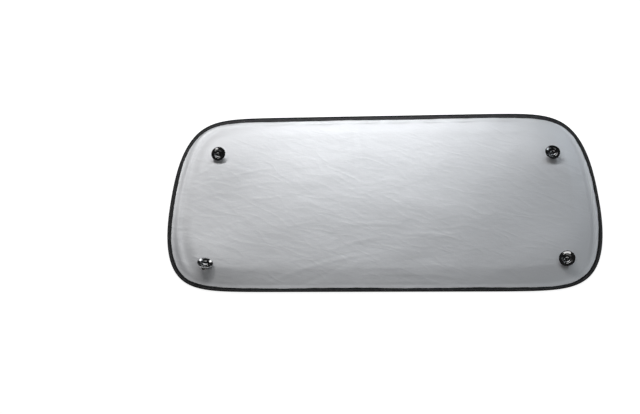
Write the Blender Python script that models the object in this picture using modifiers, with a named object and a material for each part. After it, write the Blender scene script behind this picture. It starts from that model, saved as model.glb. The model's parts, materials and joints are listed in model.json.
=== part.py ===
"""Car window sunshade: a thin fabric panel stretched on a sprung wire hoop, with suction cups.

The shade lies flat with its cups up, as it does on a table. Lengths are in metres and +Z is
up. +Y is the edge that hangs uppermost in a window. The origin is the middle of the outline,
on the surface that the shade lies on.
"""

import math

import bmesh
import bpy
from mathutils import Matrix, Vector

# Outline of the shade, measured over the binding
PANEL_WIDTH = 1.000
PANEL_HEIGHT = 0.505
EDGE_SQUARENESS = 11.1
SIDE_SQUARENESS = 2.4
HOOP_POINTS = 92
CORNER_CROWDING = 0.16
OUTLINE_STEPS = 4000
OUTLINE_ROUNDS = 8

# Clearance between pieces that touch on the real shade
FIT_GAP = 0.0003

# Fabric panel, and where between an eyelet's flat and the rim its grid lines lie
FABRIC_THICKNESS = 0.0003
FABRIC_SPAN = 0.110
LIFT_SHARES = (0.0, 0.22, 0.55, 1.0)
CUTTER_DEPTH = 0.003

# Spring wire, and the crimped sleeve that joins its two ends
WIRE_RADIUS = 0.0011
WIRE_END_GAP = 0.0010
FERRULE_LENGTH = 0.030
FERRULE_WALL = 0.00025
CRIMP_GAP = 0.00015

# Binding tape, folded round the wire and over the fabric's edge
TAPE_THICKNESS = 0.0005
BINDING_WIDTH = 0.0120
BEAD_CORNERS = 12

# Places of the eyelets, measured from the outline's edges
CUP_SIDE_INSET = 0.098
CUP_TOP_INSET = 0.130
CUP_BOTTOM_INSET = 0.0675

# Eyelets and the washers behind them
EYELET_BORE_RADIUS = 0.0042
EYELET_WALL = 0.00035
EYELET_FLANGE_RADIUS = 0.00775
EYELET_FLANGE_THICKNESS = 0.0005
EYELET_CURL_WIDTH = 0.0016
EYELET_EDGE = 0.0002
FLANGE_MARGIN = 0.0012
WASHER_RADIUS = 0.0075
WASHER_THICKNESS = 0.0004

# Suction cups: their heights run along the cup's own axis, from its pivot in the eyelet
CUP_LIP_RADIUS = 0.0175
CUP_LIP_HEIGHT = 0.0136
CUP_LIP_FACE = 0.0013
CUP_LIP_EDGE = 0.0004
CUP_BOWL_DEPTH = 0.0063
CUP_WELL_RADIUS = 0.0100
CUP_WELL_RISE = 0.0016
CUP_WELL_SHARES = (0.0, 0.35, 0.7, 1.0)
CUP_STEP = 0.0009
CUP_WALL_SHARES = (0.5, 1.0)
CUP_WALL_CURVE = 1.2
CUP_SHOULDER_HEIGHT = 0.0027
CUP_BACK_SHARES = (0.72, 0.45, 0.2, 0.06)
CUP_BACK_CURVE = 1.05
CUP_HEAD_RADIUS = 0.0054
CUP_HEAD_LENGTH = 0.0024
CUP_HEAD_EDGE = 0.0005
CUP_MAX_LEAN = math.radians(25.0)
NECK_CLEARANCE = 0.0002
HEAD_CLEARANCE = 0.0004

ROUND_STEPS = 28
EYELET_STEPS = 20
MERGE_DISTANCE = 0.00001
SHARP_ANGLE = math.radians(40.0)

# Each cup: which side and row, how far its eyelet was punched off the even layout, how far the
# cup leans at rest, and towards which compass angle
CUPS = {
    "top_left": (-1, 1, (0.007, 0.0065), 22.0, -95.0),
    "top_right": (1, 1, (0.0055, -0.0065), 12.0, -85.0),
    "bottom_left": (-1, -1, (0.007, -0.007), 22.0, 55.0),
    "bottom_right": (1, -1, (0.0055, 0.007), 22.0, -140.0),
}

# Sizes that follow from the ones above
HALF_FABRIC = FABRIC_THICKNESS / 2
FERRULE_RADIUS = WIRE_RADIUS + CRIMP_GAP + FERRULE_WALL
BEAD_BORE_RADIUS = FERRULE_RADIUS + CRIMP_GAP
BEAD_RADIUS = BEAD_BORE_RADIUS + TAPE_THICKNESS
SLIT_HALF_HEIGHT = HALF_FABRIC + FIT_GAP
WING_HALF_HEIGHT = SLIT_HALF_HEIGHT + TAPE_THICKNESS
FABRIC_EDGE_INSET = 2 * BEAD_RADIUS
RIM_HEIGHT = BEAD_RADIUS

BARREL_RADIUS = EYELET_BORE_RADIUS + EYELET_WALL
BARREL_HOLE_RADIUS = BARREL_RADIUS + FIT_GAP
FLANGE_BOTTOM = HALF_FABRIC + FIT_GAP
FLANGE_TOP = FLANGE_BOTTOM + EYELET_FLANGE_THICKNESS
WASHER_TOP = -HALF_FABRIC - FIT_GAP
WASHER_BOTTOM = WASHER_TOP - WASHER_THICKNESS
CURL_TOP = WASHER_BOTTOM - FIT_GAP
CURL_BOTTOM = CURL_TOP - EYELET_WALL
HALF_STACK = (FLANGE_TOP - CURL_BOTTOM) / 2
STACK_MIDDLE = (FLANGE_TOP + CURL_BOTTOM) / 2

NECK_RADIUS = math.cos(CUP_MAX_LEAN) * (
    EYELET_BORE_RADIUS - HALF_STACK * math.tan(CUP_MAX_LEAN) - NECK_CLEARANCE)
HEAD_TOP = -(HALF_STACK + FIT_GAP + CUP_HEAD_RADIUS * math.sin(CUP_MAX_LEAN)) / math.cos(CUP_MAX_LEAN)
HEAD_BOTTOM = HEAD_TOP - CUP_HEAD_LENGTH
PIVOT_HEIGHT = (HEAD_CLEARANCE + CUP_HEAD_RADIUS * math.sin(CUP_MAX_LEAN)
                - HEAD_BOTTOM * math.cos(CUP_MAX_LEAN))
PLATEAU_HEIGHT = PIVOT_HEIGHT - STACK_MIDDLE
PLATEAU_HALF_WIDTH = EYELET_FLANGE_RADIUS + FLANGE_MARGIN


def outline_point(angle):
    """Point of the outline in the direction of an angle: long straight edges and round sides."""
    across = abs(math.cos(angle)) / (PANEL_WIDTH / 2)
    along = abs(math.sin(angle)) / (PANEL_HEIGHT / 2)
    reach = 1 / max(across, along)
    for _ in range(OUTLINE_ROUNDS):
        edge = (reach * across) ** EDGE_SQUARENESS
        side = (reach * along) ** SIDE_SQUARENESS
        reach -= reach * (edge + side - 1) / (EDGE_SQUARENESS * edge + SIDE_SQUARENESS * side)
    return Vector((reach * math.cos(angle), reach * math.sin(angle)))


def outline_normal(angle):
    """Outward direction of the outline there."""
    point = outline_point(angle)
    across = abs(point.x) / (PANEL_WIDTH / 2)
    along = abs(point.y) / (PANEL_HEIGHT / 2)
    slope_x = EDGE_SQUARENESS * across ** (EDGE_SQUARENESS - 1) / PANEL_WIDTH
    slope_y = SIDE_SQUARENESS * along ** (SIDE_SQUARENESS - 1) / PANEL_HEIGHT
    return Vector((math.copysign(slope_x, point.x), math.copysign(slope_y, point.y))).normalized()


def hoop_angles():
    """Angles of the hoop's points from the bottom centre round: they crowd in the corners."""
    start = -math.pi / 2
    angles = [start + math.tau * i / OUTLINE_STEPS for i in range(OUTLINE_STEPS + 1)]
    travel = [0.0]
    for before, after in zip(angles, angles[1:]):
        length = (outline_point(after) - outline_point(before)).length
        turn = outline_normal(before).angle(outline_normal(after))
        travel.append(travel[-1] + length + CORNER_CROWDING * turn)
    chosen = []
    position = 0
    for i in range(HOOP_POINTS):
        target = travel[-1] * i / HOOP_POINTS
        while travel[position + 1] < target:
            position += 1
        chosen.append(angles[position])
    return chosen


def hoop_line(inset):
    """Points that run round the shade at a distance inside its outline."""
    return [outline_point(angle) - inset * outline_normal(angle) for angle in hoop_angles()]


def cup_place(side, row, stray):
    """Centre of an eyelet, seen from above."""
    x = side * (PANEL_WIDTH / 2 - CUP_SIDE_INSET)
    y = PANEL_HEIGHT / 2 - CUP_TOP_INSET if row > 0 else CUP_BOTTOM_INSET - PANEL_HEIGHT / 2
    return Vector((x, y)) + Vector(stray)


def lift_radius(places):
    """How far round an eyelet the fabric is lifted: up to the binding nearest to any of them."""
    outline = hoop_line(0.0)
    nearest = min((point - place).length for point in outline for place in places)
    return nearest - BINDING_WIDTH - 2 * FIT_GAP


def fabric_height(point, places, radius):
    """Height of the fabric's middle: level at the rim, and lifted to a flat at each eyelet."""
    plateau = math.sqrt(2) * PLATEAU_HALF_WIDTH
    distance = min((point - place).length for place in places)
    fall = min(max((distance - plateau) / (radius - plateau), 0.0), 1.0)
    return RIM_HEIGHT + (PLATEAU_HEIGHT - RIM_HEIGHT) * (1 - fall) ** 2


def grid_lines(half_size, centres, radius):
    """Places of the fabric's grid lines: close together at the eyelets, wide apart elsewhere."""
    lines = {-half_size, half_size}
    for centre in centres:
        for share in LIFT_SHARES:
            reach = PLATEAU_HALF_WIDTH + share * (radius - PLATEAU_HALF_WIDTH)
            lines.update((centre - reach, centre + reach))
    lines = sorted(line for line in lines if abs(line) <= half_size)
    filled = [lines[0]]
    for line in lines[1:]:
        gap = line - filled[-1]
        parts = max(1, round(gap / FABRIC_SPAN))
        start = filled[-1]
        filled.extend(start + gap * (i + 1) / parts for i in range(parts))
    return filled


def principled(name, colour, roughness, metallic):
    material = bpy.data.materials.new(name)
    material.use_nodes = True
    shader = material.node_tree.nodes["Principled BSDF"]
    shader.inputs["Base Color"].default_value = (*colour, 1.0)
    shader.inputs["Roughness"].default_value = roughness
    shader.inputs["Metallic"].default_value = metallic
    return material


def add_object(name, data, collection, material=None):
    obj = bpy.data.objects.new(name, data)
    collection.objects.link(obj)
    if material is not None and not data.materials:
        data.materials.append(material)
    return obj


def add_cutter(name, data, collection):
    cutter = add_object(name, data, collection)
    cutter.hide_render = True
    cutter.display_type = "WIRE"
    return cutter


def smooth(obj):
    obj.data.shade_smooth()
    obj.data.set_sharp_from_angle(angle=SHARP_ANGLE)


def poly_curve(name, points, cyclic, dimensions="3D"):
    """Curve through points with straight runs between them."""
    curve = bpy.data.curves.new(name, "CURVE")
    curve.dimensions = dimensions
    if dimensions == "3D":
        curve.twist_mode = "Z_UP"
    spline = curve.splines.new("POLY")
    spline.points.add(len(points) - 1)
    for place, point in zip(spline.points, points):
        place.co = (*point, 1.0)
    spline.use_cyclic_u = cyclic
    return curve


def turned_piece(name, profile, steps, closed, collection, material):
    """Turned solid: its profile runs down the outer side, from top to bottom."""
    mesh = bpy.data.meshes.new(name)
    shape = bmesh.new()
    points = [shape.verts.new((radius, 0.0, height)) for radius, height in profile]
    for before, after in zip(points, points[1:]):
        shape.edges.new((before, after))
    if closed:
        shape.edges.new((points[-1], points[0]))
    shape.to_mesh(mesh)
    shape.free()
    obj = add_object(name, mesh, collection, material)
    screw = obj.modifiers.new("turn", "SCREW")
    screw.axis = "Z"
    screw.angle = math.tau
    screw.steps = steps
    screw.render_steps = steps
    screw.use_merge_vertices = True
    screw.merge_threshold = MERGE_DISTANCE
    screw.use_smooth_shade = True
    return obj


def disc_cutter(name, radius, depth, steps, collection):
    mesh = bpy.data.meshes.new(name)
    shape = bmesh.new()
    bmesh.ops.create_cone(shape, cap_ends=True, segments=steps, radius1=radius, radius2=radius,
                          depth=depth)
    shape.to_mesh(mesh)
    shape.free()
    return add_cutter(name, mesh, collection)


def outline_cutter(collection):
    """Flat solid of the fabric's own outline, which trims the fabric's grid."""
    points = [(p.x, p.y, 0.0) for p in hoop_line(FABRIC_EDGE_INSET)]
    curve = poly_curve("fabric_outline_curve", points, True, "2D")
    curve.fill_mode = "BOTH"
    curve.extrude = 2 * PLATEAU_HEIGHT
    guide = bpy.data.objects.new("fabric_outline_curve", curve)
    collection.objects.link(guide)
    graph = bpy.context.evaluated_depsgraph_get()
    mesh = bpy.data.meshes.new_from_object(guide.evaluated_get(graph))
    bpy.data.objects.remove(guide)
    shape = bmesh.new()
    shape.from_mesh(mesh)
    bmesh.ops.remove_doubles(shape, verts=shape.verts[:], dist=MERGE_DISTANCE)
    shape.to_mesh(mesh)
    shape.free()
    return add_cutter("fabric_outline", mesh, collection)


def fabric_panel(collection, cutters, material):
    """Sheet of fabric, lifted where the cups' heads hold it off the table."""
    places = [cup_place(side, row, stray) for side, row, stray, lean, compass in CUPS.values()]
    radius = lift_radius(places)
    x_lines = grid_lines(PANEL_WIDTH / 2, {place.x for place in places}, radius)
    y_lines = grid_lines(PANEL_HEIGHT / 2, {place.y for place in places}, radius)
    mesh = bpy.data.meshes.new("fabric_panel")
    sheet = bmesh.new()
    columns = len(x_lines) - 1
    rows = len(y_lines) - 1
    bmesh.ops.create_grid(sheet, x_segments=columns, y_segments=rows, size=1.0)
    for vert in sheet.verts:
        x = x_lines[round((vert.co.x + 1) / 2 * columns)]
        y = y_lines[round((vert.co.y + 1) / 2 * rows)]
        vert.co = (x, y, fabric_height(Vector((x, y)), places, radius))
    sheet.to_mesh(mesh)
    sheet.free()
    obj = add_object("fabric_panel", mesh, collection, material)
    wall = obj.modifiers.new("thickness", "SOLIDIFY")
    wall.thickness = FABRIC_THICKNESS
    wall.offset = 0.0
    wall.use_even_offset = True
    trim = obj.modifiers.new("outline", "BOOLEAN")
    trim.operation = "INTERSECT"
    trim.object = outline_cutter(cutters)
    for name, place in zip(CUPS, places):
        cutter = disc_cutter("hole_" + name, BARREL_HOLE_RADIUS, CUTTER_DEPTH, EYELET_STEPS,
                             cutters)
        cutter.location = (place.x, place.y, PLATEAU_HEIGHT)
        hole = obj.modifiers.new("hole_" + name, "BOOLEAN")
        hole.operation = "DIFFERENCE"
        hole.object = cutter
    return obj


def binding_profile():
    """Section of the folded tape, +X outwards: a bead round the wire and two wings inwards."""
    half_step = math.pi / BEAD_CORNERS
    def arc(radius, wing_height):
        corner = radius / math.cos(half_step)
        angles = [half_step * turn for turn in range(BEAD_CORNERS - 3, 2 - BEAD_CORNERS, -2)]
        points = [(corner * math.cos(a), corner * math.sin(a)) for a in angles]
        throat = -math.sqrt(radius ** 2 - wing_height ** 2)
        return [(throat, wing_height)] + points + [(throat, -wing_height)]
    outside = arc(BEAD_RADIUS, WING_HALF_HEIGHT)
    inside = arc(BEAD_BORE_RADIUS, SLIT_HALF_HEIGHT)
    tip = BEAD_RADIUS - BINDING_WIDTH
    upper_tip = [(tip, SLIT_HALF_HEIGHT), (tip, WING_HALF_HEIGHT)]
    lower_tip = [(tip, -WING_HALF_HEIGHT), (tip, -SLIT_HALF_HEIGHT)]
    return upper_tip + outside + lower_tip + inside[::-1]


def edge_binding(collection, cutters, material):
    """Binding tape all the way round, wrapped over the wire and the edge of the fabric."""
    section = poly_curve("binding_section", [(x, y, 0.0) for x, y in binding_profile()], True, "2D")
    guide = add_cutter("binding_section", section, cutters)
    points = [(p.x, p.y, RIM_HEIGHT) for p in hoop_line(BEAD_RADIUS)]
    curve = poly_curve("edge_binding", points, True)
    curve.bevel_mode = "OBJECT"
    curve.bevel_object = guide
    return add_object("edge_binding", curve, collection, material)


def spring_wire_hoop(collection, material):
    """Sprung wire in the binding: its two ends meet at the bottom centre."""
    line = hoop_line(BEAD_RADIUS)
    ends = [Vector((side * WIRE_END_GAP / 2, line[0].y)) for side in (1, -1)]
    points = [(p.x, p.y, RIM_HEIGHT) for p in [ends[0]] + line[1:] + [ends[1]]]
    curve = poly_curve("spring_wire_hoop", points, False)
    curve.bevel_depth = WIRE_RADIUS
    curve.bevel_resolution = 2
    curve.use_fill_caps = True
    return add_object("spring_wire_hoop", curve, collection, material)


def wire_ferrule(collection, material):
    """Crimped sleeve over the two ends of the wire."""
    half = FERRULE_LENGTH / 2
    bore = WIRE_RADIUS + CRIMP_GAP
    profile = [(bore, half), (FERRULE_RADIUS, half), (FERRULE_RADIUS, -half), (bore, -half)]
    obj = turned_piece("wire_ferrule", profile, EYELET_STEPS, True, collection, material)
    obj.rotation_euler = (0.0, math.pi / 2, 0.0)
    obj.location = (0.0, hoop_line(BEAD_RADIUS)[0].y, RIM_HEIGHT)
    return obj


def eyelet_profile():
    """Flange on the cup side, barrel through the fabric, and a curl behind the washer."""
    curl = BARREL_RADIUS + EYELET_CURL_WIDTH
    return [
        (EYELET_BORE_RADIUS, FLANGE_TOP - EYELET_EDGE),
        (EYELET_BORE_RADIUS + EYELET_EDGE, FLANGE_TOP),
        (EYELET_FLANGE_RADIUS - EYELET_EDGE, FLANGE_TOP),
        (EYELET_FLANGE_RADIUS, FLANGE_TOP - EYELET_EDGE),
        (EYELET_FLANGE_RADIUS, FLANGE_BOTTOM),
        (BARREL_RADIUS, FLANGE_BOTTOM),
        (BARREL_RADIUS, CURL_TOP),
        (curl, CURL_TOP),
        (curl, CURL_BOTTOM),
        (EYELET_BORE_RADIUS, CURL_BOTTOM),
    ]


def washer_profile():
    """Flat ring between the fabric and the eyelet's curl."""
    return [
        (BARREL_HOLE_RADIUS, WASHER_TOP),
        (WASHER_RADIUS, WASHER_TOP),
        (WASHER_RADIUS, WASHER_BOTTOM),
        (BARREL_HOLE_RADIUS, WASHER_BOTTOM),
    ]


def cup_profile():
    """Suction cup from the middle of its bowl, over the lip and down its neck to the head."""
    floor = CUP_LIP_HEIGHT - CUP_BOWL_DEPTH
    well_edge = floor + CUP_WELL_RISE
    lip_inner = CUP_LIP_RADIUS - CUP_LIP_FACE
    step_top = (CUP_WELL_RADIUS + CUP_STEP / 2, well_edge + CUP_STEP)
    bowl = []
    for share in CUP_WELL_SHARES:
        bowl.append((share * CUP_WELL_RADIUS, floor + CUP_WELL_RISE * share ** 2))
    bowl.append(step_top)
    for share in CUP_WALL_SHARES:
        radius = step_top[0] + share * (lip_inner - step_top[0])
        rise = (CUP_LIP_HEIGHT - step_top[1]) * share ** CUP_WALL_CURVE
        bowl.append((radius, step_top[1] + rise))
    lip = [(CUP_LIP_RADIUS, CUP_LIP_HEIGHT), (CUP_LIP_RADIUS, CUP_LIP_HEIGHT - CUP_LIP_EDGE)]
    back = []
    for share in CUP_BACK_SHARES:
        radius = NECK_RADIUS + share * (CUP_LIP_RADIUS - NECK_RADIUS)
        rise = CUP_LIP_HEIGHT - CUP_LIP_EDGE - CUP_SHOULDER_HEIGHT
        back.append((radius, CUP_SHOULDER_HEIGHT + rise * share ** CUP_BACK_CURVE))
    head = [
        (NECK_RADIUS, CUP_SHOULDER_HEIGHT),
        (NECK_RADIUS, HEAD_TOP),
        (CUP_HEAD_RADIUS - CUP_HEAD_EDGE, HEAD_TOP),
        (CUP_HEAD_RADIUS, HEAD_TOP - CUP_HEAD_EDGE),
        (CUP_HEAD_RADIUS, HEAD_BOTTOM + 2 * CUP_HEAD_EDGE),
        (CUP_HEAD_RADIUS - 2 * CUP_HEAD_EDGE, HEAD_BOTTOM),
        (0.0, HEAD_BOTTOM),
    ]
    return bowl + lip + back + head


def fastening(name, collection, metal, plastic):
    """Eyelet, washer and suction cup of one corner, with the empty that the cup leans about."""
    side, row, stray, lean, compass = CUPS[name]
    place = cup_place(side, row, stray)
    eyelet = turned_piece("eyelet_" + name, eyelet_profile(), EYELET_STEPS, True, collection, metal)
    eyelet.location = (place.x, place.y, PLATEAU_HEIGHT)
    washer = turned_piece("eyelet_washer_" + name, washer_profile(), EYELET_STEPS, True, collection,
                          metal)
    washer.location = (place.x, place.y, PLATEAU_HEIGHT)
    pivot = add_object("cup_pivot_" + name, None, collection)
    pivot.location = (place.x, place.y, PIVOT_HEIGHT)
    pivot.rotation_euler = Matrix.Rotation(
        math.radians(lean), 4, lean_axis(compass)).to_euler()
    cup = turned_piece("suction_cup_" + name, cup_profile(), ROUND_STEPS, False, collection, plastic)
    cup.parent = pivot


def lean_axis(compass):
    """Hinge axis in the panel's plane that leans a cup towards a compass angle."""
    angle = math.radians(compass)
    return Vector((-math.sin(angle), math.cos(angle), 0.0))


def build():
    for obj in list(bpy.data.objects):
        bpy.data.objects.remove(obj)
    shade = bpy.data.collections.new("car_window_sunshade")
    cutters = bpy.data.collections.new("cutters")
    bpy.context.scene.collection.children.link(shade)
    bpy.context.scene.collection.children.link(cutters)
    silver = principled("silver_taffeta", (0.60, 0.61, 0.63), 0.40, 0.55)
    tape = principled("black_tape", (0.018, 0.018, 0.020), 0.62, 0.0)
    steel = principled("spring_steel", (0.42, 0.42, 0.43), 0.35, 1.0)
    nickel = principled("nickel_plate", (0.66, 0.65, 0.62), 0.25, 1.0)
    plastic = principled("black_plastic", (0.012, 0.012, 0.014), 0.12, 0.0)
    smooth(fabric_panel(shade, cutters, silver))
    edge_binding(shade, cutters, tape)
    spring_wire_hoop(shade, steel)
    wire_ferrule(shade, steel)
    for name in CUPS:
        fastening(name, shade, nickel, plastic)


build()
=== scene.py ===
"""Looks of a car window sunshade: silver cloth held open by a sprung hoop, with suction cups.

The script is laid out as an add-on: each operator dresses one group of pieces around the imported
model, and the panel in the sidebar lists them. Lengths are in metres in the model's own frame,
with +Z up and the shade lying flat, its cups upwards and its upper edge towards +Y.
"""

import json
import math

import bmesh
import bpy
import numpy as np
from bpy.props import FloatProperty, FloatVectorProperty, IntProperty, PointerProperty
from mathutils import Matrix, Vector, kdtree, noise


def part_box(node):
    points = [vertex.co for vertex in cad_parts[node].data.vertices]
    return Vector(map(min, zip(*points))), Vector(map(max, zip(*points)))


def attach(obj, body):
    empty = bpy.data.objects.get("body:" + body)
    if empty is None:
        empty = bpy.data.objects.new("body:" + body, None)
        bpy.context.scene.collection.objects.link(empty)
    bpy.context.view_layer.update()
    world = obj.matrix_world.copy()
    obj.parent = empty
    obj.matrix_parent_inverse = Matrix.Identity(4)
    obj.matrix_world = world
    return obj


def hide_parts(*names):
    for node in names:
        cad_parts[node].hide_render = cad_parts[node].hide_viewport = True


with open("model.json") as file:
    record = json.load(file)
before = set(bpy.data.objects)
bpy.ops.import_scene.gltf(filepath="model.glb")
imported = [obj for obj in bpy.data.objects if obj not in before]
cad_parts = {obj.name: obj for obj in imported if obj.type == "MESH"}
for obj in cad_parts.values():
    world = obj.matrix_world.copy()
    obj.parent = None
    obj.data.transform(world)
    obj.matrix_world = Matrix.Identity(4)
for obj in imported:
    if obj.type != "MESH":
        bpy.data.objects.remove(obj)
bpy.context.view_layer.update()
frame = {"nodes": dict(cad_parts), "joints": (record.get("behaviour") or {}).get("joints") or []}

bl_info = {
    "name": "Car Window Sunshade",
    "version": (1, 0, 0),
    "blender": (4, 5, 0),
    "location": "3D View > Sidebar > Sunshade",
    "description": "Makes a silver car window sunshade with a sprung hoop and suction cups",
    "category": "Object",
}

CORNERS = ("top_left", "top_right", "bottom_left", "bottom_right")
PANEL_BODY = "panel"

# Outline and heights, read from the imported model
HOOP_LOW, HOOP_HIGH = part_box("edge_binding")
HALF_WIDTH = HOOP_HIGH.x
HALF_HEIGHT = HOOP_HIGH.y
BEAD_RADIUS = HOOP_HIGH.z / 2
RIM_HEIGHT = BEAD_RADIUS
EDGE_SQUARENESS = 11.1
SIDE_SQUARENESS = 2.4
OUTLINE_STEPS = 6000
OUTLINE_ROUNDS = 8
MERGE_DISTANCE = 1e-6

# Binding tape: a bead round the wire and two wings over the cloth
WING_REACH = 0.0120
WING_TIP = WING_REACH - BEAD_RADIUS
WING_GAP = 0.00045
WING_GAP_AT_TIP = 0.00020

# How much shorter the upper wing is on each side, and the share of that by which the lower one is
# longer
FOLD_LEFT, FOLD_RIGHT, FOLD_BOTTOM, FOLD_TOP = 0.0020, 0.0034, 0.0032, -0.0026
LOWER_FOLD_SHARE = 0.2

# Unevenness of the wings' tips along and across the cloth: size, waves round the hoop, and how
# far the lower wing is behind the upper one
LOWER_LAG = 1.9
TIP_STRAYS = ((0.00025, 23, 1), (0.00022, 61, 2))
TIP_PUCKERS = ((0.00010, 237, 1), (0.00008, 311, 0), (0.00007, 89, 1))

# Stitches, of which one row is on each face of the tape
STITCH_MARGIN = 0.0020
STITCH_WIDTH = 0.00044
STITCH_HEIGHT = 0.00028
STITCH_SLANT = math.radians(4.0)

# Cloth: how far in it starts, how it rises from the hoop to the eyelets, the lowest that it may
# lie, and where it leaves the line of the hem. The tape's wings rise with it.
CLOTH_EDGE_INSET = 2 * BEAD_RADIUS
CLOTH_HOLE = 0.00485
CLOTH_FLAT = 0.0090
HEM_SLOPE = 0.11
HEM_HEIGHT = RIM_HEIGHT + HEM_SLOPE * WING_TIP
RISE_REACH = 0.046
RISE_POWER = 1.15
MIDDLE_SHARE = 0.33
MIDDLE_REACH = 0.10
LOWEST_CLOTH = 0.0006
WAVE_SMOOTHINGS = 3
WOBBLE_HEIGHT = 0.0006
EYELET_BLEND = 0.012
SEAT_START = WING_REACH - 0.002
SEAT_END = WING_REACH + 0.005

# Swells and dips of the cloth beside the tape: height, distance past the wing, and half width
LEFT_ROLL = (0.0014, 0.0135, 0.0070)
CORNER_ROLL = (0.0064, 0.0030, 0.0075)
TOP_SCALLOPS = (0.0009, 0.0070, 0.0045)
RIGHT_DIP = (0.0010, 0.0070, 0.0040)
BOTTOM_DIP = (0.0004, 0.0030, 0.0025)
SCALLOPS_PER_METRE = 34.0

# Painted sheen near the hem on the left, right and bottom and in the lower left corner: the cloth's
# colour is painted lighter there, as if it caught more light. Strength, and how far past the wing it
# is full and then gone
HEM_PAINTED_SHEENS = ((1.0, 0.009, 0.016), (0.6, 0.002, 0.006), (0.5, 0.002, 0.010), (4.0, 0.010, 0.050))

# Relief of the cloth, and pitches of the threads in the cloth, the tape and its stitches
THREAD_PITCH = 0.00045
WEAVE_DEPTH = 0.000004
FINE_DEPTH = 0.00018
CRUMPLE_DEPTH = 0.00026
LINE_DEPTH = 0.00011
RIB_PITCH = 0.0009
TWILL_PITCH = 0.0006
TWIST_PITCH = 0.0005

# The cloth settles at ten times its size, because the solver's smallest distance is a millimetre
SETTLING_SCALE = 10.0
SETTLING_FLOOR_SIZE = 8.0

# Eyelets: their heights are measured from the middle of the cloth
FLANGE_TOP = 0.00095
EYELET_BORE = 0.0042
EYELET_WALL = 0.00035
EYELET_FLANGE = 0.00775
EYELET_FLANGE_THICKNESS = 0.0005
EYELET_CURL = 0.0016
WASHER_RADIUS = 0.0075
WASHER_THICKNESS = 0.0004

# Suction cups: their heights run along the cup's own axis, from its pivot in the eyelet
LIP_RADIUS = 0.0175
LIP_HEIGHT = 0.0136
LIP_FACE = 0.0013
LIP_EDGE = 0.0004
BOWL_DEPTH = 0.0063
WELL_RADIUS = 0.0105
WELL_RISE = 0.0050
WELL_POWER = 3
WALL_START = 0.0113
WALL_STEP = 0.0002
SHOULDER_HEIGHT = 0.0027
NECK_RADIUS = 0.00311
HEAD_RADIUS = 0.0054
HEAD_TOP = -0.00420
HEAD_BOTTOM = -0.00660

# Stage: where the photograph's camera aims and from how far, and the softboxes, which all face
# the middle of the shade: place, width and height, and colour
CAMERA_AIM = (-0.1415, -0.0239, 0.0)
CAMERA_DISTANCE = 1.9924
FLOOR_HALF_SIZE = 6.0
FLOOR_GLOW = 0.80
SOFTBOXES = {
    "key_softbox": ((-0.90, 1.35, 1.30), (0.9, 0.36), (1.0, 1.0, 1.0)),
    "middle_softbox": ((0.0, 1.00, 0.80), (0.8, 0.30), (0.96, 0.98, 1.0)),
    "side_softbox": ((0.90, 1.00, 0.80), (0.5, 0.20), (0.85, 0.93, 1.0)),
    "strip_softbox": ((1.10, -0.10, 1.20), (0.8, 0.14), (0.88, 0.95, 1.0)),
    "front_softbox": ((-0.15, -0.80, 1.50), (1.2, 0.24), (1.0, 1.0, 1.0)),
}

# Folds pressed into the cloth by its folding: x and y of both ends, sideways bow, half width and
# height. Below them are the shares of its length over which a fold comes up and dies away.
CREASES = (
    (-0.073, 0.242, -0.062, 0.068, 0.004, 0.0040, 0.00011),
    (-0.052, 0.240, -0.040, 0.100, -0.003, 0.0048, -0.00010),
    (-0.358, 0.064, -0.249, 0.087, 0.006, 0.0034, 0.00016),
    (-0.343, 0.028, -0.242, 0.047, 0.005, 0.0029, 0.00015),
    (-0.352, 0.046, -0.262, 0.064, 0.004, 0.0032, -0.00011),
    (-0.316, -0.002, -0.220, 0.009, -0.004, 0.0032, 0.00013),
    (-0.452, 0.066, -0.398, 0.104, -0.004, 0.0037, 0.00015),
    (-0.460, 0.030, -0.380, 0.062, -0.004, 0.0038, 0.00011),
    (-0.455, -0.010, -0.350, 0.020, 0.005, 0.0040, 0.00009),
    (0.371, 0.129, 0.447, 0.050, -0.006, 0.0040, 0.00019),
    (0.352, 0.105, 0.430, 0.021, -0.006, 0.0035, 0.00018),
    (0.395, 0.135, 0.457, 0.068, -0.004, 0.0037, -0.00014),
    (0.330, 0.070, 0.420, -0.016, -0.008, 0.0048, 0.00011),
    (-0.245, -0.229, -0.024, -0.158, 0.010, 0.0044, 0.00019),
    (-0.178, -0.234, -0.080, -0.184, -0.004, 0.0040, -0.00014),
    (-0.120, -0.150, 0.012, -0.112, 0.006, 0.0048, 0.00013),
    (-0.130, -0.070, 0.040, -0.074, -0.004, 0.0052, 0.00011),
    (-0.070, -0.080, 0.067, -0.086, 0.006, 0.0040, 0.00013),
    (0.044, -0.108, 0.183, -0.120, 0.008, 0.0044, 0.00015),
    (0.090, -0.088, 0.200, -0.082, -0.004, 0.0038, 0.00011),
    (-0.046, -0.213, 0.173, -0.219, 0.006, 0.0040, 0.00016),
    (-0.002, -0.231, 0.150, -0.234, 0.003, 0.0032, 0.00013),
    (0.020, -0.186, 0.120, -0.170, 0.005, 0.0048, -0.00013),
    (0.230, -0.214, 0.330, -0.196, 0.006, 0.0048, 0.00011),
)
CREASE_START = (-0.15, 0.25)
CREASE_END = (0.75, 1.15)


def eyelet_centre(corner):
    low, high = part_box("eyelet_" + corner)
    return Vector(((low.x + high.x) / 2, (low.y + high.y) / 2, high.z - FLANGE_TOP))


EYELETS = {corner: eyelet_centre(corner) for corner in CORNERS}
EYELET_HEIGHT = EYELETS[CORNERS[0]].z


def soft_step(value, low, high):
    """0 up to low and 1 from high, with an even S between; works on numbers and on arrays."""
    share = np.clip((value - low) / (high - low), 0.0, 1.0)
    return share * share * (3 - 2 * share)


def ridge(value, middle, half_width):
    """Soft ridge of height 1 over a middle line."""
    return np.exp(-((value - middle) / half_width) ** 2)


def drift(spots, x_scale, y_scale, seed):
    """Smooth unevenness between -1 and 1 at an array of flat points."""
    return np.array([noise.noise((x * x_scale, y * y_scale, seed)) for x, y in spots])


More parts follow.
